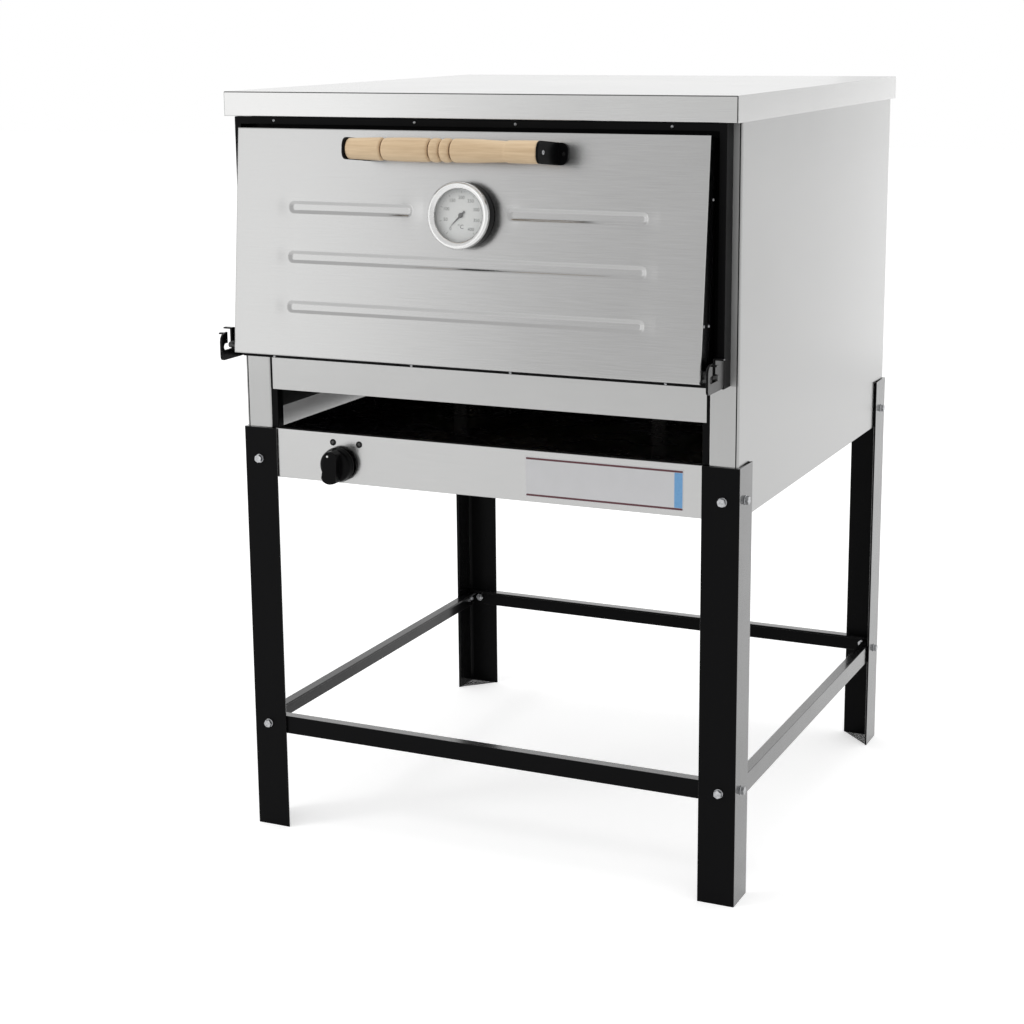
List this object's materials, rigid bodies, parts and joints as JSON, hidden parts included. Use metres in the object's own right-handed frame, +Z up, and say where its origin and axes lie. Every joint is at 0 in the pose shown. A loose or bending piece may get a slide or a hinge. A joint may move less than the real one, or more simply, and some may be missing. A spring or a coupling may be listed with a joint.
{
  "type": "pizza oven",
  "caption": "Free-standing gas pizza oven: stainless casing on black angle legs, slanted drop-down door with a thermometer and turned wooden handle, lighting slot and control knob.",
  "frame": {"origin": "on the ground under the middle of the bounding box", "axes": "+Z up, +X to the right when facing the door, -Y out of the front (the side of the door and the knob)"},
  "size_m": [0.7104, 0.8122, 1.013],
  "materials": {
    "stainless": "brushed stainless steel sheet",
    "polished": "polished, bright",
    "zinc": "zinc plated steel",
    "black_paint": "satin black powder coat",
    "black_plastic": "semi-gloss black plastic",
    "enamel": "black enamel",
    "wood": "turned and oiled pale wood",
    "dial": "matt pale dial",
    "glass": "clear flat glass",
    "refractory": "fired refractory slab",
    "wool": "compressed mineral wool",
    "cast_iron": "blackened burner tube",
    "brass": "machined brass"
  },
  "bodies": {
    "casing": {"apron": "stainless", "back_panel": "stainless", "brace_back": "black_paint", "brace_front": "black_paint", "brace_left": "black_paint", "brace_right": "black_paint", "burner": "cast_iron", "burner_panel": "stainless", "chamber_back": "enamel", "chamber_roof": "enamel", "chamber_wall_left": "enamel", "chamber_wall_right": "enamel", "door_frame": "black_paint", "door_seat": "black_paint", "floor_rail_back": "enamel", "floor_rail_front": "enamel", "floor_rail_left": "enamel", "floor_rail_right": "enamel", "floor_slab_left": "refractory", "floor_slab_right": "refractory", "front_header": "stainless", "gas_inlet_pipe": "zinc", "gas_valve": "brass", "heat_shield": "enamel", "hinge_bracket_left": "black_paint", "hinge_bracket_right": "black_paint", "insulation_back": "wool", "insulation_left": "wool", "insulation_right": "wool", "insulation_top": "wool", "leg_back_left": "black_paint", "leg_back_right": "black_paint", "leg_front_left": "black_paint", "leg_front_right": "black_paint", "oven_rack": "polished", "rack_runner_left": "enamel", "rack_runner_right": "enamel", "side_panel_left": "stainless", "side_panel_right": "stainless", "slot_post_left": "black_paint", "slot_post_right": "black_paint", "top_cover": "stainless"},
    "door": {"door_skin": "stainless", "door_liner": "black_paint", "door_insulation": "wool", "handle_grip": "wood", "handle_bracket_left": "black_paint", "handle_bracket_right": "black_paint", "hinge_pin_left": "zinc", "hinge_pin_right": "zinc", "thermometer_case": "black_paint", "thermometer_bezel": "polished", "thermometer_dial": "dial", "thermometer_glass": "glass", "thermometer_nut": "zinc"},
    "needle": {"thermometer_needle": "black_paint"},
    "plunger": {"valve_plunger": "brass"},
    "knob": {"control_knob": "black_plastic", "valve_spindle": "zinc"}
  },
  "joints": [
    {"name": "door_hinge", "type": "hinge", "parent": "casing", "child": "door", "pos_m": [0, -0.35149, 0.68685], "axis": [1, 0, 0], "range_deg": [0, 95.75]},
    {"name": "needle_turn", "type": "hinge", "parent": "door", "child": "needle", "pos_m": [0.008, -0.34948, 0.86651], "axis": [0, 0.995, -0.1002], "range_deg": [0, 275]},
    {"name": "knob_push", "type": "slide", "parent": "casing", "child": "plunger", "axis": [0, 1, 0], "range_m": [0, 0.004], "stiffness_N_per_m": 600, "springref_m": -0.004},
    {"name": "knob_turn", "type": "hinge", "parent": "plunger", "child": "knob", "pos_m": [-0.205, -0.30026, 0.527], "axis": [0, -1, 0], "range_deg": [0, 180]}
  ]
}
